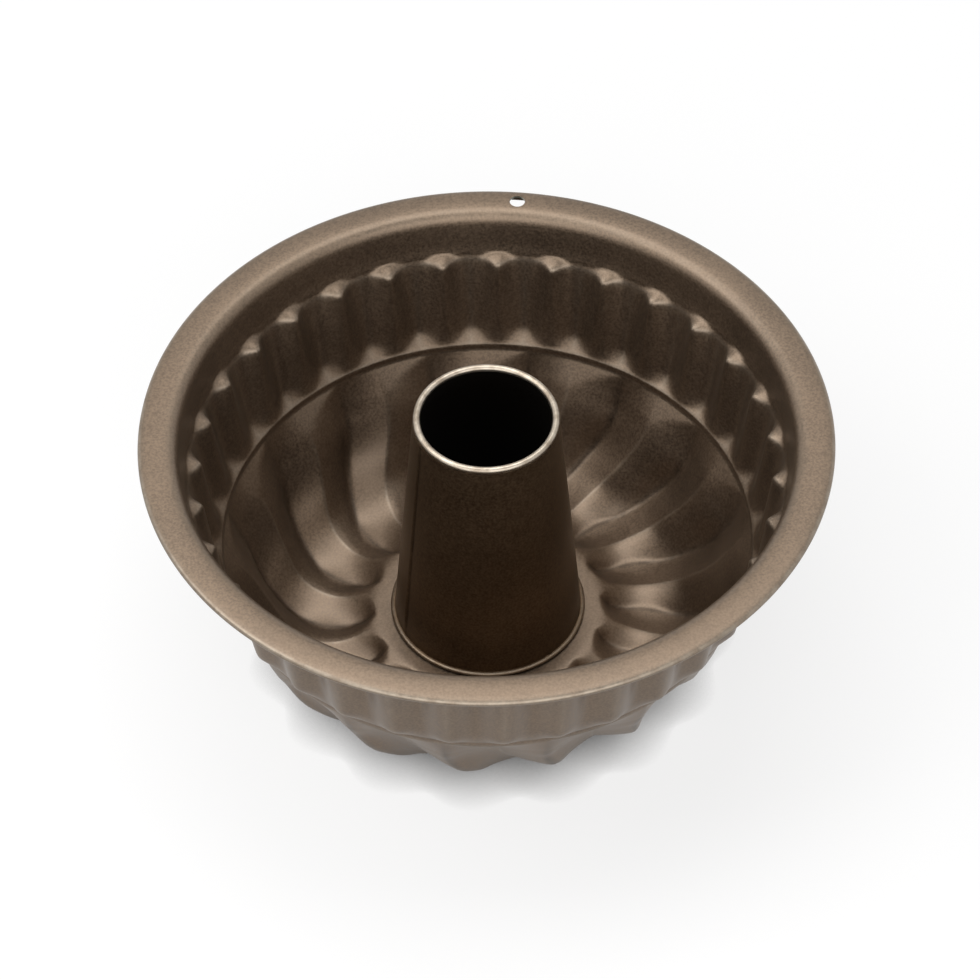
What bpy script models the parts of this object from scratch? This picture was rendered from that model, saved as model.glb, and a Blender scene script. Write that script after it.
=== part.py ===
"""Kugelhopf mould of coated steel sheet: a pressed ring mould with a rolled rim, and the tube clinched into its floor.

Metres, +Z up, the lowest faces of the swirl at z = 0, the hanging hole towards +Y. Angles run clockwise from +Y,
seen from above. The shell is one sheet: its upper face is laid out ring by ring, and its lower face is that face
moved by the sheet's thickness.
"""

import math

import bpy
import numpy as np

MM = 0.001

# The sheet
SHEET_THICKNESS = 0.7 * MM
SHARPEST_CREASE = math.radians(45)

# The floor round the tube. Widths are laid out from its hole outwards, and drops from the rim's top downwards
FLOOR_HOLE_RADIUS = 30.5 * MM
FLOOR_WIDTH = 7.5 * MM

# The swirl: the line of a crest, from the floor out to the shoulder under the ring
CREST_FOOT_WIDTH = 7.0 * MM
CREST_FOOT_RISE = 3.2 * MM
CREST_BOTTOM_WIDTH = 6.0 * MM
CREST_BOTTOM_RISE = 1.4 * MM
CREST_BEND_WIDTH = 11.4 * MM
CREST_BEND_DROP = 3.2 * MM
CREST_LOW_WIDTH = 6.1 * MM
CREST_LOW_DROP = 7.6 * MM
CREST_WALL_WIDTH = 11.0 * MM
CREST_WALL_DROP = 18.3 * MM
SHOULDER_WIDTH = 5.4 * MM
SHOULDER_DROP = 6.5 * MM
CREST_ANGLE = math.radians(14.1)
SWIRL_TURN = math.radians(-11.3)
TURN_START = 12.0 * MM
TURN_END = 57.0 * MM

# Between two crests: a wall that steepens down to a valley, then a straight flank up to the next crest
SWIRLS = 16
FLANK_ANGLE_OUTER = math.radians(10.3)
FLANK_ANGLE_INNER = math.radians(12.9)
FLANK_WIDENING_START = 34.0 * MM
FLANK_WIDENING_END = 54.0 * MM
VALLEY_DEPTH_OUTER = 5.3 * MM
VALLEY_DEPTH_INNER = 3.4 * MM
VALLEY_SHALLOWING_START = 26.0 * MM
VALLEY_SHALLOWING_END = 42.0 * MM
VALLEY_START = 14.0 * MM
WALL_START_AT_CREST = 5.0 * MM
VALLEY_END = 7.0 * MM
WALL_STEEPENING = 1.5
WALL_COLUMNS = np.array([0.0, 0.26, 0.54, 0.79])
FLANK_COLUMNS = np.array([0.0, 0.25, 0.5, 0.75])
SWIRL_STATIONS = np.array([0.054, 0.129, 0.23, 0.368, 0.506, 0.613, 0.713, 0.805, 0.912])
STANDING_FLAT = 1.35 * MM

# The fluted band and the ring at its foot
RIB_ANGLE = math.radians(7.9)
COLUMNS_PER_FLUTE = 4
FLUTES_PER_SWIRL = 2
RING_STEP_DRAFT = 0.3 * MM
RING_STEP_HEIGHT = 2.4 * MM
RIB_BOTTOM_WIDTH = 0.9 * MM
RIB_LOW_WIDTH = 0.9 * MM
RIB_DRAFT = 4.0 * MM
LEDGE_WIDTH = 4.5 * MM
FLUTE_BOTTOM_WIDTH = 4.6 * MM
FLUTE_LOW_WIDTH = 6.8 * MM
FLUTE_TOP_INSET = 0.3 * MM
RIB_LEDGE_DROP = 1.4 * MM
FLUTE_LEDGE_DROP = 1.9 * MM
BAND_DROP = 27.5 * MM
BAND_FOOT_DROP = 5.6 * MM
RIB_BOTTOM_RISE = 0.8 * MM
FLUTE_BOTTOM_RISE = 2.4 * MM
FLUTE_TOP_FULLNESS = 0.68
FLUTE_LOW_FULLNESS = 0.44
FLUTE_BOTTOM_FULLNESS = 0.34

# The collar and the flange, out to the rolled edge
COLLAR_DROP = 14.5 * MM
COLLAR_DRAFT = 1.6 * MM
COLLAR_ROUNDING_WIDTH = 4.7 * MM
COLLAR_ROUNDING_DROP = 3.9 * MM
FLANGE_WIDTH = 4.5 * MM
FLANGE_CROWN_DROP = 0.1 * MM
RIM_SLOPE_WIDTH = 3.1 * MM
RIM_CORNER_WIDTH = 0.6 * MM
RIM_EDGE_DROP = 0.6 * MM
RIM_EDGE_HEIGHT = 2.0 * MM
RIM_RETURN_WIDTH = 2.4 * MM

# The hanging hole in the flange
HANGING_HOLE_DIAMETER = 5.0 * MM
HANGING_HOLE_INSET = 5.4 * MM
HANGING_HOLE_SIDES = 24
CUTTER_REACH = 2.1 * MM

# Radii and depths that follow from these
CREST_FOOT_RADIUS = FLOOR_HOLE_RADIUS + FLOOR_WIDTH
CREST_BOTTOM_RADIUS = CREST_FOOT_RADIUS + CREST_FOOT_WIDTH
CREST_LOWEST_RADIUS = CREST_BOTTOM_RADIUS + CREST_BOTTOM_WIDTH
CREST_BEND_RADIUS = CREST_LOWEST_RADIUS + CREST_BEND_WIDTH
CREST_LOW_RADIUS = CREST_BEND_RADIUS + CREST_LOW_WIDTH
SHOULDER_RADIUS = CREST_LOW_RADIUS + CREST_WALL_WIDTH
STEP_RADIUS = SHOULDER_RADIUS + SHOULDER_WIDTH
RING_RADIUS = STEP_RADIUS + RING_STEP_DRAFT
RIB_BOTTOM_RADIUS = RING_RADIUS + RIB_BOTTOM_WIDTH
RIB_LOW_RADIUS = RIB_BOTTOM_RADIUS + RIB_LOW_WIDTH
RIB_TOP_RADIUS = RIB_LOW_RADIUS + RIB_DRAFT
COLLAR_BOTTOM_RADIUS = RIB_TOP_RADIUS + LEDGE_WIDTH
COLLAR_TOP_RADIUS = COLLAR_BOTTOM_RADIUS + COLLAR_DRAFT
FLANGE_TOP_RADIUS = COLLAR_TOP_RADIUS + COLLAR_ROUNDING_WIDTH
FLANGE_CROWN_RADIUS = FLANGE_TOP_RADIUS + FLANGE_WIDTH
RIM_CORNER_RADIUS = FLANGE_CROWN_RADIUS + RIM_SLOPE_WIDTH
RIM_RADIUS = RIM_CORNER_RADIUS + RIM_CORNER_WIDTH
BAND_LOW_DEPTH = COLLAR_DROP + BAND_DROP
RING_DEPTH = BAND_LOW_DEPTH + BAND_FOOT_DROP
STEP_DEPTH = RING_DEPTH + RING_STEP_HEIGHT
SHOULDER_DEPTH = STEP_DEPTH + SHOULDER_DROP
CREST_LOW_DEPTH = SHOULDER_DEPTH + CREST_WALL_DROP
CREST_BEND_DEPTH = CREST_LOW_DEPTH + CREST_LOW_DROP
CREST_LOWEST_DEPTH = CREST_BEND_DEPTH + CREST_BEND_DROP
CREST_BOTTOM_DEPTH = CREST_LOWEST_DEPTH - CREST_BOTTOM_RISE
FLOOR_DEPTH = CREST_BOTTOM_DEPTH - CREST_FOOT_RISE
SHOULDER_LENGTH = math.hypot(SHOULDER_WIDTH, SHOULDER_DROP)

# The tube
TUBE_COLUMNS = 56
TUBE_THICKNESS = 0.6 * MM
TUBE_MOUTH_RADIUS = 23.2 * MM
TUBE_MOUTH_RISE = 8.9 * MM
TUBE_HEM_WIDTH = 2.4 * MM
TUBE_HEM_HEIGHT = 2.4 * MM
FOOT_CLEARANCE = 0.3 * MM
FOOT_BEAD_WIDTH = 1.3 * MM
FOOT_BEAD_HEIGHT = 1.4 * MM
FOOT_RETURN_WIDTH = 2.0 * MM
SEAM_ANGLE = math.radians(203.0)
SEAM_STEP = 0.45 * MM
SEAM_LAP_ANGLE = math.radians(22.0)

COATING_COLOUR = (0.205, 0.165, 0.125, 1.0)
COATING_ROUGHNESS = 0.42
COATING_METALLIC = 0.8


def clear_scene():
    for thing in list(bpy.data.objects):
        bpy.data.objects.remove(thing, do_unlink=True)


def coating(name):
    material = bpy.data.materials.new(name)
    material.use_nodes = True
    shader = material.node_tree.nodes["Principled BSDF"]
    shader.inputs["Base Color"].default_value = COATING_COLOUR
    shader.inputs["Roughness"].default_value = COATING_ROUGHNESS
    shader.inputs["Metallic"].default_value = COATING_METALLIC
    material.diffuse_color = COATING_COLOUR
    return material


def ring_points(radii, heights, angles):
    """Points at these radii and heights, at angles clockwise from +Y."""
    shape = np.broadcast(radii, heights, angles).shape
    radii, heights, angles = (np.broadcast_to(v, shape) for v in (radii, heights, angles))
    return np.stack([radii * np.sin(angles), radii * np.cos(angles), heights], axis=-1)


def rim_rows():
    """(radius, depth) of the rings from the end of the rolled edge, over the flange, to the foot of the collar."""
    edge_middle = RIM_EDGE_DROP + RIM_EDGE_HEIGHT / 2
    edge_bottom = RIM_EDGE_DROP + RIM_EDGE_HEIGHT
    halfway = 1 - math.sqrt(0.5)
    return [
        (RIM_RADIUS - RIM_RETURN_WIDTH, edge_bottom),
        (RIM_CORNER_RADIUS, edge_bottom),
        (RIM_RADIUS, edge_middle),
        (RIM_CORNER_RADIUS, RIM_EDGE_DROP),
        (FLANGE_CROWN_RADIUS, FLANGE_CROWN_DROP),
        (FLANGE_TOP_RADIUS, 0.0),
        (COLLAR_TOP_RADIUS + COLLAR_ROUNDING_WIDTH * halfway, COLLAR_ROUNDING_DROP * halfway),
        (COLLAR_TOP_RADIUS, COLLAR_ROUNDING_DROP),
        (COLLAR_BOTTOM_RADIUS, COLLAR_DROP),
    ]


def flute_columns():
    """Angle of each column of the fluted band, and its place from a rib's crest, 0, to the middle of a flute, 1."""
    columns = SWIRLS * FLUTES_PER_SWIRL * COLUMNS_PER_FLUTE
    index = np.arange(columns) + COLUMNS_PER_FLUTE // 2
    angles = RIB_ANGLE + index * math.tau / columns
    phase = np.mod(index, COLUMNS_PER_FLUTE) / COLUMNS_PER_FLUTE
    return angles, 1 - np.abs(1 - 2 * phase)


def band_ring(rib, flute, fullness, angles, fluted):
    """One ring of the fluted band, from the (radius, depth) of its ribs and of its flutes.

    fullness is the share of the way out to the flute that is reached halfway between the two: over a half, the ribs
    are pointed and the flutes round, and under a half it is the other way about.
    """
    share = fluted ** (math.log(fullness) / math.log(0.5))
    radius = rib[0] + (flute[0] - rib[0]) * share
    depth = rib[1] + (flute[1] - rib[1]) * share
    return ring_points(radius, -depth, angles)


def smooth_line(points, reached, along):
    """The point and the direction at a distance along the smooth curve through the points, reached at those distances."""
    chords = np.diff(reached)
    slopes = np.diff(points, axis=0) / chords[:, None]
    weights = (chords[:-1] / (chords[:-1] + chords[1:]))[:, None]
    inner = slopes[:-1] * (1 - weights) + slopes[1:] * weights
    tangents = np.concatenate([2 * slopes[:1] - inner[:1], inner, 2 * slopes[-1:] - inner[-1:]])
    i = min(int(np.searchsorted(reached, along, side="right")) - 1, len(chords) - 1)
    t = (along - reached[i]) / chords[i]
    leaving, arriving = tangents[i] * chords[i], tangents[i + 1] * chords[i]
    step = points[i + 1] - points[i]
    point = points[i] + step * t**2 * (3 - 2 * t) + leaving * t * (1 - t) ** 2 - arriving * t**2 * (1 - t)
    direction = step * 6 * t * (1 - t) + leaving * (1 - t) * (1 - 3 * t) - arriving * t * (2 - 3 * t)
    return point, direction / np.linalg.norm(direction)


def crest_line():
    """(radius, height) of the points that a crest runs through, from the ring's foot, and how far along each lies."""
    points = np.array(
        [
            (STEP_RADIUS, -STEP_DEPTH),
            (SHOULDER_RADIUS, -SHOULDER_DEPTH),
            (CREST_LOW_RADIUS, -CREST_LOW_DEPTH),
            (CREST_BEND_RADIUS, -CREST_BEND_DEPTH),
            (CREST_LOWEST_RADIUS, -CREST_LOWEST_DEPTH),
            (CREST_BOTTOM_RADIUS, -CREST_BOTTOM_DEPTH),
            (CREST_FOOT_RADIUS, -FLOOR_DEPTH),
        ]
    )
    return points, np.concatenate([[0], np.cumsum(np.linalg.norm(np.diff(points, axis=0), axis=1))])


def eased(value, start, end):
    """0 up to start, 1 from end on, and smooth between."""
    t = np.clip((value - start) / (end - start), 0, 1)
    return t * t * (3 - 2 * t)


def swirl_angles(along):
    """Angle of each column of the swirl: wall columns from each crest to its valley, then those of the flank."""
    pitch = math.tau / SWIRLS
    widened = eased(along, FLANK_WIDENING_START, FLANK_WIDENING_END)
    flank = FLANK_ANGLE_OUTER + (FLANK_ANGLE_INNER - FLANK_ANGLE_OUTER) * widened
    wall = pitch - flank
    offsets = np.concatenate([wall * WALL_COLUMNS, wall + flank * FLANK_COLUMNS])
    crests = CREST_ANGLE + pitch * np.arange(SWIRLS) + SWIRL_TURN * eased(along, TURN_START, TURN_END)
    return (crests[:, None] + offsets).ravel()


def valley_depths(along, length):
    """How far each column lies behind the crest's surface. The shoulder stays whole over the wall, next to the crest."""
    shares = np.concatenate([WALL_COLUMNS**WALL_STEEPENING, 1 - FLANK_COLUMNS])
    nearness = np.concatenate([WALL_COLUMNS, np.ones(len(FLANK_COLUMNS))])
    starts = SHOULDER_LENGTH * (1 - nearness)
    lengths = WALL_START_AT_CREST + (VALLEY_START - WALL_START_AT_CREST) * nearness
    started = np.clip((along - starts) / lengths, 0, 1)
    left = np.clip((length - along) / VALLEY_END, 0, 1)
    shallower = eased(along, VALLEY_SHALLOWING_START, VALLEY_SHALLOWING_END)
    deep = VALLEY_DEPTH_OUTER + (VALLEY_DEPTH_INNER - VALLEY_DEPTH_OUTER) * shallower
    return np.tile(deep * shares * (1 - (1 - started) ** 2) * math.sqrt(1 - (1 - left) ** 2), SWIRLS)


def shell_grid():
    """The sheet's upper face: one row of points for each ring."""
    angles, fluted = flute_columns()
    rows = [ring_points(radius, -depth, angles) for radius, depth in rim_rows()]
    rib_top = (RIB_TOP_RADIUS, COLLAR_DROP + RIB_LEDGE_DROP)
    rib_low = (RIB_LOW_RADIUS, BAND_LOW_DEPTH)
    rib_bottom = (RIB_BOTTOM_RADIUS, RING_DEPTH - RIB_BOTTOM_RISE)
    flute_top = (COLLAR_BOTTOM_RADIUS - FLUTE_TOP_INSET, COLLAR_DROP + FLUTE_LEDGE_DROP)
    flute_low = (RING_RADIUS + FLUTE_LOW_WIDTH, BAND_LOW_DEPTH)
    flute_bottom = (RING_RADIUS + FLUTE_BOTTOM_WIDTH, RING_DEPTH - FLUTE_BOTTOM_RISE)
    rows.append(band_ring(rib_top, flute_top, FLUTE_TOP_FULLNESS, angles, fluted))
    rows.append(band_ring(rib_low, flute_low, FLUTE_LOW_FULLNESS, angles, fluted))
    rows.append(band_ring(rib_bottom, flute_bottom, FLUTE_BOTTOM_FULLNESS, angles, fluted))
    crest, reached = crest_line()
    swirl = swirl_angles(0.0)
    for share, radius, depth in ((1 / 3, RING_RADIUS, RING_DEPTH), (2 / 3, STEP_RADIUS, STEP_DEPTH)):
        rows.append(ring_points(radius, -depth, angles + (swirl - angles) * share))
    length = reached[-1]
    for along in SWIRL_STATIONS * length:
        (radius, height), (along_r, along_z) = smooth_line(crest, reached, along)
        sunk = valley_depths(along, length)
        rows.append(ring_points(radius - along_z * sunk, height + along_r * sunk, swirl_angles(along)))
    swirl = swirl_angles(length)
    for radius in (CREST_FOOT_RADIUS, FLOOR_HOLE_RADIUS):
        rows.append(ring_points(radius, -FLOOR_DEPTH, swirl))
    return np.array(rows)


def offset_grid(grid, distance):
    """Every point of the grid moved along its normal, farther at a crease so that the sheet keeps its thickness."""
    after = np.roll(grid, -1, axis=1)
    across = after[:-1] - grid[:-1]
    down = grid[1:] - grid[:-1]
    faces = np.cross(across, down)
    faces /= np.linalg.norm(faces, axis=-1, keepdims=True)
    around = [faces, np.roll(faces, 1, axis=1)]
    rows = [np.concatenate([f[:1], f]) for f in around] + [np.concatenate([f, f[-1:]]) for f in around]
    total = np.sum(rows, axis=0)
    normal = total / np.linalg.norm(total, axis=-1, keepdims=True)
    facing = np.mean([(normal * f).sum(axis=-1) for f in rows], axis=0)
    return grid + normal * (distance / facing.clip(math.cos(SHARPEST_CREASE)))[..., None]


def grid_mesh(name, loop):
    """A closed mesh from rings of points, each joined to the next and the last to the first."""
    rows, columns = loop.shape[:2]
    faces = []
    for i in range(rows):
        below = (i + 1) % rows
        for j in range(columns):
            after = (j + 1) % columns
            faces.append((i * columns + j, below * columns + j, below * columns + after, i * columns + after))
    mesh = bpy.data.meshes.new(name)
    mesh.from_pydata(loop.reshape(-1, 3).tolist(), [], faces)
    mesh.update()
    mesh.shade_smooth()
    return mesh


def add_object(name, mesh, material):
    mesh.materials.append(material)
    thing = bpy.data.objects.new(name, mesh)
    bpy.context.scene.collection.objects.link(thing)
    return thing


def hole_cutter(height):
    """A hidden cylinder through the rim where the hanging hole goes."""
    angles = np.arange(HANGING_HOLE_SIDES) * math.tau / HANGING_HOLE_SIDES
    ring = ring_points(HANGING_HOLE_DIAMETER / 2, 0.0, angles) + [0, RIM_RADIUS - HANGING_HOLE_INSET, 0]
    points = np.concatenate([ring + [0, 0, height + CUTTER_REACH], ring + [0, 0, height - CUTTER_REACH]])
    sides = HANGING_HOLE_SIDES
    faces = [(i, (i + 1) % sides, sides + (i + 1) % sides, sides + i) for i in range(sides)]
    faces += [tuple(reversed(range(sides))), tuple(range(sides, 2 * sides))]
    mesh = bpy.data.meshes.new("hanging_hole_cutter")
    mesh.from_pydata(points.tolist(), [], faces)
    mesh.update()
    cutter = bpy.data.objects.new("hanging_hole_cutter", mesh)
    bpy.context.scene.collection.objects.link(cutter)
    cutter.hide_render = True
    cutter.display_type = "WIRE"
    return cutter


def add_shell(material):
    """The shell, and the height of its rim over the standing plane."""
    upper = shell_grid()
    lower = offset_grid(upper, SHEET_THICKNESS)
    rim_height = -lower[..., 2].min() - STANDING_FLAT
    upper[..., 2] = (upper[..., 2] + rim_height).clip(SHEET_THICKNESS)
    lower[..., 2] = (lower[..., 2] + rim_height).clip(0)
    sheet = grid_mesh("mould_shell", np.concatenate([upper, lower[::-1]]))
    shell = add_object("mould_shell", sheet, material)
    cut = shell.modifiers.new("hanging_hole", "BOOLEAN")
    cut.operation = "DIFFERENCE"
    cut.solver = "EXACT"
    cut.object = hole_cutter(rim_height)
    return rim_height


def tube_rows(rim_height):
    """(radius, height, step at the seam) once round the tube's section: up its outside, over the mouth, down inside."""
    floor = rim_height - FLOOR_DEPTH
    under = floor - SHEET_THICKNESS - FOOT_CLEARANCE
    waist = FLOOR_HOLE_RADIUS - FOOT_CLEARANCE
    bead_bottom = floor + FOOT_CLEARANCE
    bead_top = bead_bottom + FOOT_BEAD_HEIGHT
    mouth = rim_height + TUBE_MOUTH_RISE
    hem_inside = TUBE_MOUTH_RADIUS - TUBE_HEM_WIDTH
    hem_quarter = TUBE_HEM_WIDTH / 4
    inner_wall = TUBE_MOUTH_RADIUS - TUBE_THICKNESS
    return [
        (waist + FOOT_RETURN_WIDTH, under - TUBE_THICKNESS, 0),
        (waist + FOOT_RETURN_WIDTH, under, 0),
        (waist, under, 0),
        (waist, bead_bottom, 0),
        (waist + FOOT_BEAD_WIDTH, bead_bottom, 0),
        (waist + FOOT_BEAD_WIDTH, bead_bottom + FOOT_BEAD_HEIGHT / 2, 0),
        (waist + FOOT_BEAD_WIDTH / 2, bead_top, 0),
        (waist, bead_top, SEAM_STEP),
        (TUBE_MOUTH_RADIUS, mouth - TUBE_HEM_HEIGHT / 2, SEAM_STEP),
        (TUBE_MOUTH_RADIUS - hem_quarter, mouth - TUBE_HEM_HEIGHT / 8, 0),
        (TUBE_MOUTH_RADIUS - 2 * hem_quarter, mouth, 0),
        (TUBE_MOUTH_RADIUS - 3 * hem_quarter, mouth - TUBE_HEM_HEIGHT / 8, 0),
        (hem_inside, mouth - TUBE_HEM_HEIGHT / 2, 0),
        (TUBE_MOUTH_RADIUS - 3 * hem_quarter, mouth - TUBE_HEM_HEIGHT, 0),
        (inner_wall, mouth - TUBE_HEM_HEIGHT, 0),
        (waist - TUBE_THICKNESS, bead_top, 0),
        (waist - TUBE_THICKNESS, under - TUBE_THICKNESS, 0),
    ]


def tube_angles():
    """Even columns from the seam round, with one more just past the seam to carry its step."""
    edge = SEAM_STEP / TUBE_MOUTH_RADIUS
    return SEAM_ANGLE + np.concatenate([[0, edge], np.linspace(edge, math.tau, TUBE_COLUMNS)[1:-1]])


def add_tube(rim_height, material):
    angles = tube_angles()
    past_seam = angles - SEAM_ANGLE
    lap = np.clip(1 - past_seam / SEAM_LAP_ANGLE, 0, 1) * (past_seam > 0)
    grid = np.array([ring_points(radius + step * lap, height, angles) for radius, height, step in tube_rows(rim_height)])
    add_object("centre_tube", grid_mesh("centre_tube", grid), material)


clear_scene()
rim_height = add_shell(coating("shell_coating"))
add_tube(rim_height, coating("tube_coating"))
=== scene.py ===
# %% [markdown]
# # A kugelhopf mould, dressed for its portrait
# The real mould is two pressings of coated steel sheet. The big one is a ring mould: a flat flange with a
# rolled edge, a collar, a band of 32 flutes, a stepped ring and 16 swirled lobes round a raised floor.
# The small one is a tapered tube, rolled from a strip with a lapped seam, hemmed at its mouth and crimped
# into the floor. This lesson builds both anew, much finer than the CAD solids, and lays them exactly over
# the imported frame. Lengths are in metres, +Z is up, and angles run clockwise from +Y, seen from above, as
# in the CAD source.

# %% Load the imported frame
import math
from functools import partial

import bmesh
import bpy
import numpy as np
from mathutils import Matrix, Vector


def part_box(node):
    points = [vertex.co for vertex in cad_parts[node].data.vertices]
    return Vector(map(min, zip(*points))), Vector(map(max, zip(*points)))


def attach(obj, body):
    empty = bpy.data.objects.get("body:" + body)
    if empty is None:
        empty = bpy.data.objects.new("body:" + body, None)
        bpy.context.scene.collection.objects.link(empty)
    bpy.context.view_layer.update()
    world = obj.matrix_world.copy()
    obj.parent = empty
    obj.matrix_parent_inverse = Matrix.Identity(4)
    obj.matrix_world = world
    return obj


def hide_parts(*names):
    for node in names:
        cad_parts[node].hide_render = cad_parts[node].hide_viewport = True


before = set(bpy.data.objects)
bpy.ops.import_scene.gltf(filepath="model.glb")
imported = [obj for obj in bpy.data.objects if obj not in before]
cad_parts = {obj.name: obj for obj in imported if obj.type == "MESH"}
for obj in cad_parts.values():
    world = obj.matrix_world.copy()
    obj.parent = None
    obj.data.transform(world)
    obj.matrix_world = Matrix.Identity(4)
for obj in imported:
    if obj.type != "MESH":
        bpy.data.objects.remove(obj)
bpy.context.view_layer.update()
MM = 0.001
rim_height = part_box("mould_shell")[1].z
rim_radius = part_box("mould_shell")[1].x
print("rim height", round(rim_height / MM, 2), "mm, rim radius", round(rim_radius / MM, 2), "mm")

# %% [markdown]
# ## The camera
# The picture was taken from almost two metres away with a long lens, looking down at about 48 degrees.
# The distance, the pitch and the small roll come from fitting the rim, the rings and the tube's mouth as
# ellipses. The camera is placed by its direction and its distance from the middle of the rim, because
# those are the values that such a fit gives. The mould is turned a little about its axis, so the camera
# is turned by as much.

# %% Place the camera
PICTURE_PIXELS = 980
FOCAL_PIXELS = 6000.0
SENSOR_WIDTH = 36.0
CAMERA_PITCH = math.radians(47.85)
CAMERA_ROLL = math.radians(0.51)
CAMERA_TURN = math.radians(5.9)
CAMERA_DISTANCE = 1891.0 * MM
CAMERA_ASIDE = 0.99 * MM
CAMERA_BELOW = 17.18 * MM
FARTHEST_SEEN = 100.0


def camera_matrix():
    """Where the camera stands, looking at the middle of the rim."""
    forward = Vector((0, math.cos(CAMERA_PITCH), -math.sin(CAMERA_PITCH)))
    right = Vector((1, 0, 0))
    up = right.cross(forward)
    position = right * CAMERA_ASIDE - up * CAMERA_BELOW - forward * CAMERA_DISTANCE
    rolled_right = right * math.cos(CAMERA_ROLL) - up * math.sin(CAMERA_ROLL)
    rolled_up = right * math.sin(CAMERA_ROLL) + up * math.cos(CAMERA_ROLL)
    placed = Matrix((rolled_right, rolled_up, -forward)).transposed().to_4x4()
    placed.translation = position
    placed = Matrix.Rotation(CAMERA_TURN, 4, "Z") @ placed
    placed.translation.z += rim_height
    return placed


lens = bpy.data.cameras.new("portrait_lens")
lens.lens = FOCAL_PIXELS * SENSOR_WIDTH / PICTURE_PIXELS
lens.sensor_width = SENSOR_WIDTH
lens.clip_end = FARTHEST_SEEN
camera = bpy.data.objects.new("portrait_camera", lens)
camera.matrix_world = camera_matrix()
bpy.context.scene.collection.objects.link(camera)
bpy.context.scene.camera = camera
print("camera at", [round(v, 3) for v in camera.matrix_world.translation])

# %% [markdown]
# ## The shell's section
# A pressed ring mould follows a rule: going round it, every ring is the same pattern repeated 16 times,
# and only the ring's place and depth change from the floor to the rim. So the shell is described by a
# list of rings. Each ring has two lines, the crests that stand into the cavity and the hollows behind
# them, and a few numbers that say how to pass from one to the other. A lathe could make the plain rings
# but not the swirl, and sculpting would lose the symmetry. Radii and depths are the measured ones, laid
# out from the tube's hole outwards and from the rim's top downwards.

# %% The sizes of the swirl
FLOOR_HOLE_RADIUS = 30.5 * MM
FLOOR_DEPTH = 81.0 * MM
CREST_RADII = np.array([79.5, 68.5, 62.4, 51.0, 45.2, 41.4, 37.9, 34.6]) * MM
CREST_DEPTHS = np.array([56.5, 74.8, 82.4, 85.6, 84.4, 82.7, 81.4, 81.0]) * MM
STEP_RADIUS = 84.9 * MM
STEP_DEPTH = 50.0 * MM
CREST_ANGLE = math.radians(14.1)
SWIRL_TURN = math.radians(-11.3)
TURN_START = 12.0 * MM
TURN_END = 57.0 * MM
FLANK_ANGLE_OUTER = math.radians(10.3)
FLANK_ANGLE_INNER = math.radians(12.9)
FLANK_WIDENING_START = 34.0 * MM
FLANK_WIDENING_END = 54.0 * MM
HOLLOW_STOPS = np.array([0.0, 14.0, 27.0, 42.0, 70.0]) * MM
HOLLOW_DEPTHS = np.array([3.1, 4.0, 5.0, 3.2, 3.0]) * MM
HOLLOW_END_BEFORE_FLOOR = 1.9 * MM
HOLLOW_END_LENGTH = 6.2 * MM


def eased(value, start, end):
    """0 up to start, 1 from end on, and smooth between."""
    t = np.clip((value - start) / (end - start), 0, 1)
    return t * t * (3 - 2 * t)


def smooth_line(points, reached, along):
    """The point and the direction at a distance along the smooth curve through the points."""
    chords = np.diff(reached)
    slopes = np.diff(points, axis=0) / chords[:, None]
    weights = (chords[:-1] / (chords[:-1] + chords[1:]))[:, None]
    inner = slopes[:-1] * (1 - weights) + slopes[1:] * weights
    tangents = np.concatenate([2 * slopes[:1] - inner[:1], inner, 2 * slopes[-1:] - inner[-1:]])
    i = int(np.clip(np.searchsorted(reached, along, side="right") - 1, 0, len(chords) - 1))
    t = (along - reached[i]) / chords[i]
    leaving = tangents[i] * chords[i]
    arriving = tangents[i + 1] * chords[i]
    step = points[i + 1] - points[i]
    bend = leaving * t * (1 - t) ** 2 - arriving * t**2 * (1 - t)
    point = points[i] + step * t**2 * (3 - 2 * t) + bend
    turning = leaving * (1 - t) * (1 - 3 * t) - arriving * t * (2 - 3 * t)
    direction = step * 6 * t * (1 - t) + turning
    return point, direction / np.linalg.norm(direction)


step_edge = np.array([(STEP_RADIUS, STEP_DEPTH)])
whole_line = np.concatenate([step_edge, np.stack([CREST_RADII, CREST_DEPTHS], axis=1)])
chord_lengths = np.linalg.norm(np.diff(whole_line, axis=0), axis=1)
whole_reached = np.concatenate([[0], np.cumsum(chord_lengths)])
shoulder_length = whole_reached[1]
swirl_length = whole_reached[-1]
print("shoulder", round(shoulder_length / MM, 2), "mm, crest line", round(swirl_length / MM, 2), "mm")

# %% [markdown]
# Each ring is one row of numbers. The swirl's rings crowd together where the sheet bends sharply, at the
# shoulder under the stepped ring and at the hollows' rounded inner ends, and are wider apart on the long
# flanks.

# %% The rings of the floor and the swirl
RING_FIELDS = (
    "crest_radius",
    "crest_height",
    "hollow_radius",
    "hollow_height",
    "crest_angle",
    "flank_angle",
    "along",
    "turned",
    "roundness",
    "edge",
)
rings = []


def add_ring(crest, hollow, along=0.0, turned=0.0, roundness=1.0, edge=0.0):
    """One ring, from the (radius, depth) of its crests and of its hollows."""
    crest_angle = CREST_ANGLE + SWIRL_TURN * eased(along, TURN_START, TURN_END)
    widened = eased(along, FLANK_WIDENING_START, FLANK_WIDENING_END)
    flank_angle = FLANK_ANGLE_OUTER + (FLANK_ANGLE_INNER - FLANK_ANGLE_OUTER) * widened
    places = (crest[0], rim_height - crest[1], hollow[0], rim_height - hollow[1])
    rings.append(places + (crest_angle, flank_angle, along, turned, roundness, edge))


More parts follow.
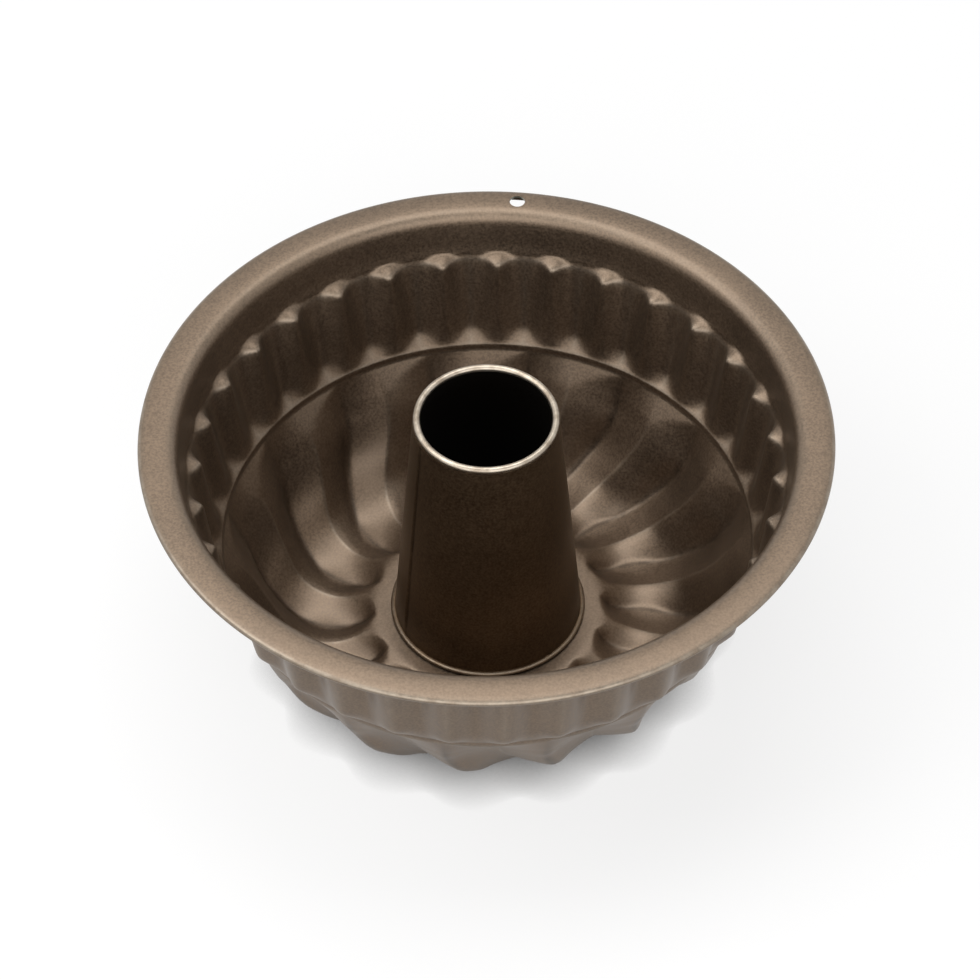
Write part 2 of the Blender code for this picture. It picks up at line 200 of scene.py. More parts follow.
def swirl_ring(along):
    """A ring of the swirl, this far along the crest from the stepped ring."""
    point, direction = smooth_line(whole_line, whole_reached, along)
    if along < shoulder_length:
        point = whole_line[0] + (whole_line[1] - whole_line[0]) * along / shoulder_length
    stops = np.interp(along, HOLLOW_STOPS, np.arange(len(HOLLOW_STOPS)))
    part = int(min(stops, len(HOLLOW_STOPS) - 2))
    deeper = HOLLOW_DEPTHS[part + 1] - HOLLOW_DEPTHS[part]
    deep = HOLLOW_DEPTHS[part] + deeper * eased(stops - part, 0, 1)
    hollow = point + np.array([direction[1], -direction[0]]) * deep
    add_ring(point, hollow, along=along, turned=1.0)


FLOOR_WIDTHS = (0.0, 2.2 * MM)
BEFORE_FLOOR = np.array([0.0, 1.1, 1.9, 2.4, 2.9, 3.4, 4.0, 4.6, 5.3, 6.1, 7.1, 8.4]) * MM
FLANK_RINGS = 25
FLANK_BEFORE_FLOOR = 9.9 * MM
FLANK_BELOW_STEP = 16.0 * MM
BELOW_STEP = np.array([14.4, 12.9, 11.5, 10.3, 9.3, 8.45, 7.6, 6.5, 5.2, 3.9, 2.6, 1.4, 0.6]) * MM
for width in FLOOR_WIDTHS:
    floor_point = (FLOOR_HOLE_RADIUS + width, FLOOR_DEPTH)
    add_ring(floor_point, floor_point, along=swirl_length, turned=1.0)
inner_end = swirl_length - BEFORE_FLOOR
long_flanks = np.linspace(swirl_length - FLANK_BEFORE_FLOOR, FLANK_BELOW_STEP, FLANK_RINGS)
for along in np.concatenate([inner_end, long_flanks, BELOW_STEP]):
    swirl_ring(along)
print(len(rings), "rings up to the stepped ring")

# %% [markdown]
# The stepped ring is a narrow riser with crisp edges. Above it the flutes stand. At their foot the ribs
# are wide and round and the flutes run out in small sloping triangles, and at their head it is the other
# way about. One number, the roundness, says which: above one it widens the ribs, and below one it widens
# the flutes.
#
# In the three tables the radii and depths are in millimetres and the last column is how much the edge
# is lightened, for rubbing and for a painted highlight. The step's rows also say how far they follow the
# swirl's pattern, and the flutes' rows, which have a radius and a depth for the ribs and then for the
# flutes, their roundness.

# %% The rings of the step, the flutes, the collar and the rolled edge
# Each row's last number lightens its ring's edge, for rubbing and as a painted highlight.
STEP_ROWS = (
    (84.9, 50.0, 1.0, 0.3),
    (84.95, 48.9, 0.67, 0.0),
    (85.05, 48.0, 0.5, 0.0),
    (85.3, 47.6, 0.33, 0.35),
)
FLUTE_ROWS = (
    (85.5, 47.35, 86.4, 46.8, 1.7, 0.0),
    (85.75, 46.9, 87.5, 45.8, 1.7, 0.0),
    (86.05, 46.1, 88.5, 44.7, 1.65, 0.0),
    (86.4, 44.9, 89.3, 43.6, 1.5, 0.0),
    (86.75, 43.4, 89.7, 42.5, 1.3, 0.0),
    (87.05, 41.5, 90.0, 41.0, 1.15, 0.0),
    (87.5, 38.5, 90.5, 38.3, 1.05, 0.0),
    (88.05, 35.0, 91.15, 35.0, 0.95, 0.0),
    (88.55, 31.5, 91.8, 31.5, 0.85, 0.0),
    (89.05, 28.0, 92.45, 28.0, 0.75, 0.0),
    (89.5, 24.5, 93.05, 24.6, 0.64, 0.0),
    (89.9, 21.4, 93.6, 21.6, 0.54, 0.0),
    (90.2, 19.0, 94.05, 19.4, 0.46, 0.0),
    (90.4, 17.4, 94.4, 17.9, 0.42, 0.15),
    (90.75, 16.5, 94.65, 17.0, 0.39, 0.4),
    (91.5, 15.95, 94.85, 16.4, 0.37, 0.2),
    (92.9, 15.5, 95.05, 15.9, 0.36, 0.0),
    (94.4, 15.0, 95.25, 15.3, 0.35, 0.0),
)
COLLAR_ROWS = (
    (95.25, 14.6, 0.0),
    (95.5, 14.0, 0.0),
    (96.1, 10.2, 0.0),
    (96.75, 6.4, 0.0),
    (97.15, 4.0, 0.0),
    (97.5, 2.75, 0.0),
    (98.15, 1.65, 0.0),
    (99.1, 0.75, 0.1),
    (100.2, 0.25, 0.1),
    (101.7, 0.0, 0.0),
    (104.2, 0.0, 0.0),
    (107.2, 0.2, 0.0),
    (108.7, 0.42, 0.1),
    (109.45, 0.75, 0.7),
    (109.88, 1.2, 0.8),
    (110.0, 1.75, 0.3),
    (109.8, 2.25, 0.0),
    (109.2, 2.6, 0.0),
    (107.7, 2.62, 0.0),
)

for radius, depth, turned, edge in STEP_ROWS:
    riser = (radius * MM, depth * MM)
    add_ring(riser, riser, turned=turned, edge=edge)
for rib_radius, rib_depth, flute_radius, flute_depth, roundness, edge in FLUTE_ROWS:
    rib = (rib_radius * MM, rib_depth * MM)
    flute = (flute_radius * MM, flute_depth * MM)
    add_ring(rib, flute, roundness=roundness, edge=edge)
for radius, depth, edge in COLLAR_ROWS:
    plain = (radius * MM, depth * MM)
    add_ring(plain, plain, edge=edge)
print(len(rings), "rings in all")

# %% [markdown]
# ## The shell as a node tree
# The list of rings becomes a small mesh, one point a ring, with the ring's numbers stored on the point. A
# Geometry Nodes tree then makes a grid, looks each ring's numbers up, and places every grid point at its
# angle, radius and height. It could be done with loops in mesh code, as the CAD source does, but as a
# tree the swirl can be turned, widened and counted by its inputs while one looks at it.

# %% Put the rings on a mesh
ring_mesh = bpy.data.meshes.new("shell_rings")
ring_points = [(ring[0], 0, ring[1]) for ring in rings]
ring_edges = [(i, i + 1) for i in range(len(rings) - 1)]
ring_mesh.from_pydata(ring_points, ring_edges, [])
for number, field in enumerate(RING_FIELDS):
    stored = ring_mesh.attributes.new(field, "FLOAT", "POINT")
    stored.data.foreach_set("value", [float(ring[number]) for ring in rings])
shell = bpy.data.objects.new("pressed_shell", ring_mesh)
bpy.context.scene.collection.objects.link(shell)
print("stored", len(RING_FIELDS), "numbers on each of", len(ring_mesh.vertices), "points")

# %% Helpers for building trees


def add_node(tree, kind, **settings):
    """A node of this kind with these settings."""
    node = tree.nodes.new(kind)
    for name, value in settings.items():
        setattr(node, name, value)
    return node


def feed(tree, socket, value):
    """Joins another node's output to this socket, or writes a plain value on it."""
    if isinstance(value, bpy.types.NodeSocket):
        tree.links.new(value, socket)
    else:
        socket.default_value = value


def maths(tree, operation, *values, clamp=False):
    """The result of one sum."""
    node = add_node(tree, "ShaderNodeMath", operation=operation, use_clamp=clamp)
    for socket, value in zip(node.inputs, values):
        feed(tree, socket, value)
    return node.outputs[0]


def rescaled(tree, value, start, end, to_start, to_end):
    """The value carried from one range to another, and held at its ends."""
    node = add_node(tree, "ShaderNodeMapRange")
    for socket, given in zip(node.inputs, (value, start, end, to_start, to_end)):
        feed(tree, socket, given)
    return node.outputs[0]


def between(tree, share, start, end):
    """The value this share of the way from start to end."""
    return maths(tree, "MULTIPLY_ADD", share, maths(tree, "SUBTRACT", end, start), start)


# %% The tree's inputs and its grid
shell_tree = bpy.data.node_groups.new("pressed_ring_mould", "GeometryNodeTree")
shell_tree.is_modifier = True
shell_maths = partial(maths, shell_tree)
shell_face = shell_tree.interface
shell_face.new_socket("Rings", in_out="INPUT", socket_type="NodeSocketGeometry")
shell_face.new_socket("Sheet", in_out="OUTPUT", socket_type="NodeSocketGeometry")
SHELL_INPUTS = (
    ("Swirls", "NodeSocketInt", 16),
    ("Columns per swirl", "NodeSocketInt", 32),
    ("Flutes per swirl", "NodeSocketInt", 2),
    ("Rib angle", "NodeSocketFloat", math.radians(7.9)),
    ("Flute softness", "NodeSocketFloat", 0.8),
    ("Shoulder length", "NodeSocketFloat", float(shoulder_length)),
    ("Hollow start at crest", "NodeSocketFloat", 4.0 * MM),
    ("Hollow start at valley", "NodeSocketFloat", 14.0 * MM),
    ("Standing plane", "NodeSocketFloat", 0.7 * MM),
    ("Standing rounding", "NodeSocketFloat", 2.0 * MM),
    ("Hollow end", "NodeSocketFloat", float(swirl_length - HOLLOW_END_BEFORE_FLOOR)),
    ("Hollow end length", "NodeSocketFloat", HOLLOW_END_LENGTH),
    ("Hollow end bow", "NodeSocketFloat", 2.6 * MM),
    ("Hollow end softness", "NodeSocketFloat", 1.35),
    ("Coating", "NodeSocketMaterial", None),
)
for name, kind, _ in SHELL_INPUTS:
    shell_face.new_socket(name, in_out="INPUT", socket_type=kind)
given = add_node(shell_tree, "NodeGroupInput").outputs
ring_count = add_node(shell_tree, "GeometryNodeAttributeDomainSize", component="MESH")
feed(shell_tree, ring_count.inputs["Geometry"], given["Rings"])
rings_high = ring_count.outputs["Point Count"]
columns_round = shell_maths("MULTIPLY", given["Swirls"], given["Columns per swirl"])
grid = add_node(shell_tree, "GeometryNodeMeshGrid")
feed(shell_tree, grid.inputs["Vertices X"], shell_maths("ADD", columns_round, 1.0))
feed(shell_tree, grid.inputs["Vertices Y"], rings_high)
print(len(SHELL_INPUTS), "named inputs")

# %% [markdown]
# A grid numbers its points column by column, so a division gives a point's column and the rest gives its
# ring. Within one swirl the pattern runs from a crest down a wall to the hollow's bottom at a half, and
# then up the straight flank to the next crest.

# %% Where each point stands in the pattern
point_number = add_node(shell_tree, "GeometryNodeInputIndex").outputs[0]
column = shell_maths("FLOOR", shell_maths("DIVIDE", point_number, rings_high))
ring_number = shell_maths("SUBTRACT", point_number, shell_maths("MULTIPLY", column, rings_high))
swirls_round = shell_maths("DIVIDE", column, given["Columns per swirl"])
in_swirl = shell_maths("FRACT", swirls_round)
swirl_pitch = shell_maths("DIVIDE", math.tau, given["Swirls"])


def ring_value(field):
    """This field of the ring that a grid point belongs to."""
    wanted = add_node(shell_tree, "GeometryNodeInputNamedAttribute", data_type="FLOAT")
    feed(shell_tree, wanted.inputs["Name"], field)
    looked_up = add_node(shell_tree, "GeometryNodeSampleIndex", data_type="FLOAT", domain="POINT")
    feed(shell_tree, looked_up.inputs["Geometry"], given["Rings"])
    feed(shell_tree, looked_up.inputs["Value"], wanted.outputs["Attribute"])
    feed(shell_tree, looked_up.inputs["Index"], ring_number)
    return looked_up.outputs["Value"]


ring = {field: ring_value(field) for field in RING_FIELDS}
print("looked up", ", ".join(ring))

# %% The angle of each point
to_valley = rescaled(shell_tree, in_swirl, 0.0, 0.5, 0.0, 1.0)
to_crest = rescaled(shell_tree, in_swirl, 0.5, 1.0, 0.0, 1.0)
wall_angle = shell_maths("SUBTRACT", swirl_pitch, ring["flank_angle"])
down_wall = shell_maths("MULTIPLY", to_valley, wall_angle)
in_pitch = shell_maths("MULTIPLY_ADD", to_crest, ring["flank_angle"], down_wall)
whole_pitches = shell_maths("MULTIPLY", shell_maths("FLOOR", swirls_round), swirl_pitch)
swirled = shell_maths("ADD", shell_maths("ADD", in_pitch, whole_pitches), ring["crest_angle"])
half_flute = shell_maths("DIVIDE", 0.5, given["Flutes per swirl"])
rib_places = shell_maths("ADD", swirls_round, half_flute)
straight = shell_maths("MULTIPLY_ADD", rib_places, swirl_pitch, given["Rib angle"])
angle = between(shell_tree, ring["turned"], straight, swirled)
print("angles laid out")

# %% [markdown]
# How far a point has sunk from crest to hollow is a share between 0 and 1. Over the flutes it comes from
# the distance to the flute's middle, softened, and the ring's roundness then widens the rib or the flute.
# Over the swirl a drawn curve gives it, steep and hollow on the wall side and straight on the flank.
# There it starts later beside the crest, which leaves the slanting shoulder whole, and it runs out in a
# bowed end just before the floor.

# %% How far each point has sunk
flutes_round = shell_maths("MULTIPLY_ADD", swirls_round, given["Flutes per swirl"], 0.5)
flute_phase = shell_maths("FRACT", flutes_round)
off_middle = shell_maths("ABSOLUTE", shell_maths("MULTIPLY_ADD", flute_phase, 2.0, -1.0))
fluted = shell_maths("SUBTRACT", 1.0, off_middle)
smooth_flute = add_node(shell_tree, "ShaderNodeMapRange", interpolation_type="SMOOTHSTEP")
feed(shell_tree, smooth_flute.inputs["Value"], fluted)
softened = between(shell_tree, given["Flute softness"], fluted, smooth_flute.outputs[0])
round_foot = shell_maths("MAXIMUM", ring["roundness"], 1.0)
round_head = shell_maths("DIVIDE", 1.0, shell_maths("MINIMUM", ring["roundness"], 1.0))
off_flute = shell_maths("SUBTRACT", 1.0, shell_maths("POWER", softened, round_foot))
flute_share = shell_maths("SUBTRACT", 1.0, shell_maths("POWER", off_flute, round_head))

LEAST_TURNED = 0.01
MOST_TURNED = 0.99
WALL_AND_FLANK = (
    (0.0, 0.0),
    (0.08, 0.035),
    (0.2, 0.2),
    (0.32, 0.46),
    (0.42, 0.79),
    (0.465, 0.95),
    (0.505, 1.0),
    (0.55, 0.95),
    (0.62, 0.81),
    (0.94, 0.115),
    (1.0, 0.0),
)
section = add_node(shell_tree, "ShaderNodeFloatCurve")
drawn = section.mapping.curves[0]
drawn.points[0].location = WALL_AND_FLANK[0]
drawn.points[1].location = WALL_AND_FLANK[-1]
for place in WALL_AND_FLANK[1:-1]:
    drawn.points.new(*place)
for corner in drawn.points:
    corner.handle_type = "VECTOR" if corner.location[0] in (0.0, 1.0) else "AUTO"
section.mapping.update()
feed(shell_tree, section.inputs["Value"], in_swirl)

near_valley = shell_maths("MAXIMUM", to_valley, shell_maths("GREATER_THAN", to_crest, 0.0))
late = shell_maths("MULTIPLY", given["Shoulder length"], shell_maths("SUBTRACT", 1.0, near_valley))
reach = between(shell_tree, near_valley, given["Hollow start at crest"], given["Hollow start at valley"])
gone = shell_maths("DIVIDE", shell_maths("SUBTRACT", ring["along"], late), reach, clamp=True)
still = shell_maths("SUBTRACT", 1.0, gone)
begun = shell_maths("SUBTRACT", 1.0, shell_maths("MULTIPLY", still, still))
off_valley = shell_maths("SUBTRACT", 1.0, section.outputs["Value"])
bowed = shell_maths("MULTIPLY", off_valley, off_valley)
bow = shell_maths("MULTIPLY", bowed, given["Hollow end bow"])
to_end = shell_maths("SUBTRACT", shell_maths("SUBTRACT", given["Hollow end"], bow), ring["along"])
before_end = shell_maths("DIVIDE", to_end, given["Hollow end length"], clamp=True)
into_end = shell_maths("SUBTRACT", 1.0, before_end)
round_end = shell_maths("SUBTRACT", 1.0, shell_maths("MULTIPLY", into_end, into_end))
ended = shell_maths("POWER", round_end, given["Hollow end softness"])
in_hollow = shell_maths("MULTIPLY", begun, ended)
swirl_share = shell_maths("MULTIPLY", section.outputs["Value"], in_hollow)
is_swirl = shell_maths("GREATER_THAN", ring["turned"], MOST_TURNED)
share = between(shell_tree, is_swirl, flute_share, swirl_share)
print(len(drawn.points), "points on the drawn section")

# %% [markdown]
# Two marks are stored on the points for the materials: the edges where handling wears the coating bright
# and a painted highlight lies along them, and painted shade in the valleys, where the sheet creases. They
# follow every change of an input, which a picture of the surface would not.

# %% Place the points
radius = between(shell_tree, share, ring["crest_radius"], ring["hollow_radius"])
height = between(shell_tree, share, ring["crest_height"], ring["hollow_height"])
height = shell_maths("SMOOTH_MAX", height, given["Standing plane"], given["Standing rounding"])
placed = add_node(shell_tree, "ShaderNodeCombineXYZ")
feed(shell_tree, placed.inputs["X"], shell_maths("MULTIPLY", radius, shell_maths("SINE", angle)))
feed(shell_tree, placed.inputs["Y"], shell_maths("MULTIPLY", radius, shell_maths("COSINE", angle)))
feed(shell_tree, placed.inputs["Z"], height)
moved = add_node(shell_tree, "GeometryNodeSetPosition")
feed(shell_tree, moved.inputs["Geometry"], grid.outputs["Mesh"])
feed(shell_tree, moved.inputs["Position"], placed.outputs[0])
print("points placed")

# %% The marks of the bright edges, from rubbing and a painted highlight, and of the painted shade in the valleys
# Crests, flutes' middles and rings' edges are lightened for rubbing and for a painted highlight together.
CREST_WEAR_AND_HIGHLIGHT = 0.35
CREST_WEAR_AND_HIGHLIGHT_WIDTH = 0.034
CREST_WEAR_AND_HIGHLIGHT_BELOW_STEP = (9.0 * MM, 16.0 * MM)
CREST_WEAR_AND_HIGHLIGHT_BEFORE_END = (4.0 * MM, 14.0 * MM)
FLUTE_WEAR_AND_HIGHLIGHT = 0.2
FLUTE_WEAR_AND_HIGHLIGHT_START = 0.8
PLAIN_DIFFERENCE = 0.5 * MM
PAINTED_SHADE_WIDTH = 0.065
from_crest = shell_maths("MINIMUM", in_swirl, shell_maths("SUBTRACT", 1.0, in_swirl))
crest_line = rescaled(shell_tree, from_crest, 0.0, CREST_WEAR_AND_HIGHLIGHT_WIDTH, CREST_WEAR_AND_HIGHLIGHT, 0.0)
below_step = rescaled(shell_tree, ring["along"], *CREST_WEAR_AND_HIGHLIGHT_BELOW_STEP, 0.0, 1.0)
to_floor = shell_maths("SUBTRACT", given["Hollow end"], ring["along"])
above_floor = rescaled(shell_tree, to_floor, *CREST_WEAR_AND_HIGHLIGHT_BEFORE_END, 0.0, 1.0)
midway = shell_maths("MULTIPLY", below_step, above_floor)
on_crest = shell_maths("MULTIPLY", shell_maths("MULTIPLY", crest_line, is_swirl), midway)
flute_line = rescaled(shell_tree, fluted, FLUTE_WEAR_AND_HIGHLIGHT_START, 1.0, 0.0, FLUTE_WEAR_AND_HIGHLIGHT)
not_swirl = shell_maths("LESS_THAN", ring["turned"], LEAST_TURNED)
is_plain = shell_maths("COMPARE", ring["crest_radius"], ring["hollow_radius"], PLAIN_DIFFERENCE)
is_fluted = shell_maths("SUBTRACT", not_swirl, is_plain)
on_flute = shell_maths("MULTIPLY", flute_line, is_fluted, clamp=True)
wear_and_highlight = shell_maths("MAXIMUM", shell_maths("MAXIMUM", on_crest, on_flute), ring["edge"])
# Painted shade: a dark line along each valley, fading out where the hollows end.
from_valley = shell_maths("ABSOLUTE", shell_maths("SUBTRACT", in_swirl, 0.5))
valley_line = rescaled(shell_tree, from_valley, 0.0, PAINTED_SHADE_WIDTH, 1.0, 0.0)
in_painted_shade = shell_maths("MULTIPLY", shell_maths("MULTIPLY", valley_line, is_swirl), in_hollow)
print("marks worked out")

# %% Store the marks and finish the sheet
CLOSING_DISTANCE = 0.005 * MM
marked = moved.outputs["Geometry"]
for mark, value in (("wear_and_highlight", wear_and_highlight), ("painted_shade", in_painted_shade)):
    stored = add_node(shell_tree, "GeometryNodeStoreNamedAttribute", data_type="FLOAT", domain="POINT")
    feed(shell_tree, stored.inputs["Geometry"], marked)
    feed(shell_tree, stored.inputs["Name"], mark)
    feed(shell_tree, stored.inputs["Value"], value)
    marked = stored.outputs["Geometry"]
closed = add_node(shell_tree, "GeometryNodeMergeByDistance")
feed(shell_tree, closed.inputs["Geometry"], marked)
feed(shell_tree, closed.inputs["Distance"], CLOSING_DISTANCE)
smooth = add_node(shell_tree, "GeometryNodeSetShadeSmooth")
feed(shell_tree, smooth.inputs["Geometry"], closed.outputs["Geometry"])
real = add_node(shell_tree, "GeometryNodeRealizeInstances")
feed(shell_tree, real.inputs["Geometry"], smooth.outputs["Geometry"])
coated = add_node(shell_tree, "GeometryNodeSetMaterial")
feed(shell_tree, coated.inputs["Geometry"], real.outputs["Geometry"])
feed(shell_tree, coated.inputs["Material"], given["Coating"])
sheet = add_node(shell_tree, "NodeGroupOutput").inputs["Sheet"]
feed(shell_tree, sheet, coated.outputs["Geometry"])
print(len(shell_tree.nodes), "nodes in the shell's tree")

# %% [markdown]
# ## The coatings
# Both pressings carry a brown-bronze non-stick coating, sprayed over steel. Close to, it shows a fine
# metallic speckle, faint blotches where the spray lay thicker, and a soft orange-peel. It is a little
# brighter along the edges that hands and cloths rub, and a painted highlight lies there too, while
# painted shade darkens the swirl's valleys and the tube's creases. These effects are shared node groups,
# placed in each material with its own values. The shading itself stays in the material. The tube's bore
# is painted near-black, as painted shade. On the shell a thin clear coat lays a little white over what
# the bronze mirrors. Where the hanging hole is cut, the sheet shows a paler edge.

# %% The group for the sprayed grain


def new_group(name, inputs, outputs):
    """An empty shader group with its sockets, its input node's outputs and its output node's inputs."""
    group = bpy.data.node_groups.new(name, "ShaderNodeTree")
    for label, kind, value in inputs:
        socket = group.interface.new_socket(label, in_out="INPUT", socket_type=kind)
        if value is not None:
            socket.default_value = value
    for label, kind in outputs:
        group.interface.new_socket(label, in_out="OUTPUT", socket_type=kind)
    return group, add_node(group, "NodeGroupInput").outputs, add_node(group, "NodeGroupOutput").inputs


def noise(tree, place, scale, detail):
    """Fractal noise between 0 and 1 at this many features a metre."""
    node = add_node(tree, "ShaderNodeTexNoise")
    feed(tree, node.inputs["Vector"], place)
    feed(tree, node.inputs["Scale"], scale)
    feed(tree, node.inputs["Detail"], detail)
    return node.outputs["Fac"]


grain, grain_in, grain_out = new_group(
    "sprayed_grain",
    (
        ("Place", "NodeSocketVector", None),
        ("Speckles per metre", "NodeSocketFloat", 1300.0),
        ("Peel per metre", "NodeSocketFloat", 700.0),
        ("Blotches per metre", "NodeSocketFloat", 32.0),
    ),
    (("Speckle", "NodeSocketFloat"), ("Blotch", "NodeSocketFloat"), ("Height", "NodeSocketFloat")),
)
SPECKLE_DETAIL = 2.0
SPECKLE_RANGE = (0.32, 0.68)
SPECKLE_HEIGHT = 0.5
BLOTCH_DETAIL = 4.0
BLOTCH_RANGE = (0.3, 0.7)
PEEL_DETAIL = 3.0
fine = noise(grain, grain_in["Place"], grain_in["Speckles per metre"], SPECKLE_DETAIL)
speckle = rescaled(grain, fine, *SPECKLE_RANGE, 0.0, 1.0)
broad = noise(grain, grain_in["Place"], grain_in["Blotches per metre"], BLOTCH_DETAIL)
blotch = rescaled(grain, broad, *BLOTCH_RANGE, 0.0, 1.0)
peel = noise(grain, grain_in["Place"], grain_in["Peel per metre"], PEEL_DETAIL)
feed(grain, grain_out["Speckle"], speckle)
feed(grain, grain_out["Blotch"], blotch)
feed(grain, grain_out["Height"], maths(grain, "MULTIPLY_ADD", speckle, SPECKLE_HEIGHT, peel))
print("group", grain.name)

# %% The group for edges lightened by rubbing and a painted highlight, and for painted shade
# Its Bright output is rubbing plus a painted highlight, and its Dark output is painted shade in creases.
wear_and_light, wear_and_light_in, wear_and_light_out = new_group(
    "wear_highlight_and_shade",
    (
        ("Place", "NodeSocketVector", None),
        ("Wear and highlight", "NodeSocketFloat", 0.0),
        ("Painted shade", "NodeSocketFloat", 0.0),
        ("Scratches per metre", "NodeSocketFloat", 240.0),
    ),
    (("Bright", "NodeSocketFloat"), ("Dark", "NodeSocketFloat")),
)
SCRATCH_DETAIL = 4.0
SCRATCH_RANGE = (0.35, 0.6)
LEAST_MARK = 0.45
scratched = noise(wear_and_light, wear_and_light_in["Place"], wear_and_light_in["Scratches per metre"], SCRATCH_DETAIL)
broken = rescaled(wear_and_light, scratched, *SCRATCH_RANGE, LEAST_MARK, 1.0)
feed(wear_and_light, wear_and_light_out["Bright"], maths(wear_and_light, "MULTIPLY", wear_and_light_in["Wear and highlight"], broken))
feed(wear_and_light, wear_and_light_out["Dark"], maths(wear_and_light, "MULTIPLY", wear_and_light_in["Painted shade"], broken))
print("group", wear_and_light.name)

# %% How a coating is made
BLOTCH_TONE = 0.3
SPECKLE_TONE = 0.7
# Painted shade: the crease mark mixes this near-black in at this share.
PAINTED_SHADE_SHARE = 0.55
PAINTED_SHADE_COLOUR = (0.02, 0.014, 0.01, 1.0)
# The share of the pale mark that stands for rubbing and a painted highlight.
WEAR_AND_HIGHLIGHT_SHARE = 0.6
SPECKLE_ROUGHNESS = 0.1
BLOTCH_ROUGHNESS = 0.05
WORN_ROUGHNESS = -0.08
CLEAR_COAT_ROUGHNESS = 0.35
GRAIN_STRENGTH = 0.25
GRAIN_HEIGHT = 0.06 * MM


def mixed(tree, share, start, end):
    """One colour mixed into another."""
    node = add_node(tree, "ShaderNodeMix", data_type="RGBA")
    feed(tree, node.inputs["Factor"], share)
    feed(tree, node.inputs[6], start)
    feed(tree, node.inputs[7], end)
    return node.outputs[2]


def mark_of(tree, name):
    """A mark stored on the mesh."""
    return add_node(tree, "ShaderNodeAttribute", attribute_name=name).outputs["Fac"]


def coating(name, dark, light, wear_and_highlight_colour, roughness, metallic, clear_coat=0.0, bore_painted_shade=None):
    """A sprayed metallic coating between two colours, lighter where edges rub and take a painted highlight,
    darker under painted shade.
    """
    material = bpy.data.materials.new(name)
    material.use_nodes = True
    tree = material.node_tree
    shader = tree.nodes["Principled BSDF"]
    place = add_node(tree, "ShaderNodeTexCoord").outputs["Object"]
    sprayed = add_node(tree, "ShaderNodeGroup", node_tree=grain)
    feed(tree, sprayed.inputs["Place"], place)
    wear_and_light_marks = add_node(tree, "ShaderNodeGroup", node_tree=wear_and_light)
    feed(tree, wear_and_light_marks.inputs["Place"], place)
    feed(tree, wear_and_light_marks.inputs["Wear and highlight"], mark_of(tree, "wear_and_highlight"))
    feed(tree, wear_and_light_marks.inputs["Painted shade"], mark_of(tree, "painted_shade"))
    speckled = maths(tree, "MULTIPLY", sprayed.outputs["Speckle"], SPECKLE_TONE)
    tone = maths(tree, "MULTIPLY_ADD", sprayed.outputs["Blotch"], BLOTCH_TONE, speckled)
    colour = mixed(tree, tone, dark, light)
    # Painted shade in creases.
    shaded_share = maths(tree, "MULTIPLY", wear_and_light_marks.outputs["Dark"], PAINTED_SHADE_SHARE)
    colour = mixed(tree, shaded_share, colour, PAINTED_SHADE_COLOUR)
    # Painted highlight, with rubbing, on the edges.
    brightened = maths(tree, "MULTIPLY", wear_and_light_marks.outputs["Bright"], WEAR_AND_HIGHLIGHT_SHARE)
    colour = mixed(tree, brightened, colour, wear_and_highlight_colour)
    # Painted shade: the tube's bore turns near-black.
    if bore_painted_shade:
        colour = mixed(tree, mark_of(tree, "bore"), colour, bore_painted_shade)
    feed(tree, shader.inputs["Base Color"], colour)
    least = roughness - SPECKLE_ROUGHNESS / 2
    spread = maths(tree, "MULTIPLY_ADD", sprayed.outputs["Speckle"], SPECKLE_ROUGHNESS, least)
    spread = maths(tree, "MULTIPLY_ADD", sprayed.outputs["Blotch"], BLOTCH_ROUGHNESS, spread)
    spread = maths(tree, "MULTIPLY_ADD", wear_and_light_marks.outputs["Bright"], WORN_ROUGHNESS, spread)
    if bore_painted_shade:
        spread = maths(tree, "MAXIMUM", spread, mark_of(tree, "bore"))
    feed(tree, shader.inputs["Roughness"], spread)
    shader.inputs["Metallic"].default_value = metallic
    shader.inputs["Coat Weight"].default_value = clear_coat
    shader.inputs["Coat Roughness"].default_value = CLEAR_COAT_ROUGHNESS
    bump = add_node(tree, "ShaderNodeBump")
    bump.inputs["Strength"].default_value = GRAIN_STRENGTH
    bump.inputs["Distance"].default_value = GRAIN_HEIGHT
    feed(tree, bump.inputs["Height"], sprayed.outputs["Height"])
    feed(tree, shader.inputs["Normal"], bump.outputs["Normal"])
    return material


# %% The coatings of the shell, of its cut edge and of the tube
SHELL_DARK = (0.11, 0.08, 0.056, 1.0)
SHELL_LIGHT = (0.2, 0.145, 0.1, 1.0)
SHELL_ROUGHNESS = 0.42
CUT_EDGE_DARK = (0.094, 0.0965, 0.0785, 1.0)
CUT_EDGE_LIGHT = (0.262, 0.277, 0.231, 1.0)
CUT_EDGE_ROUGHNESS = 0.39
# The shell's pale colour for edges lightened by rubbing and a painted highlight.
WEAR_AND_HIGHLIGHT_COLOUR = (0.42, 0.37, 0.3, 1.0)
SHELL_METALLIC = 0.93
SHELL_CLEAR_COAT = 0.2
TUBE_DARK = (0.1, 0.066, 0.04, 1.0)
TUBE_LIGHT = (0.19, 0.133, 0.083, 1.0)
TUBE_ROUGHNESS = 0.4
TUBE_METALLIC = 1.0
# The tube's pale colour for its bead and hem, lightened by rubbing and a painted highlight.
TUBE_WEAR_AND_HIGHLIGHT_COLOUR = (0.62, 0.56, 0.47, 1.0)
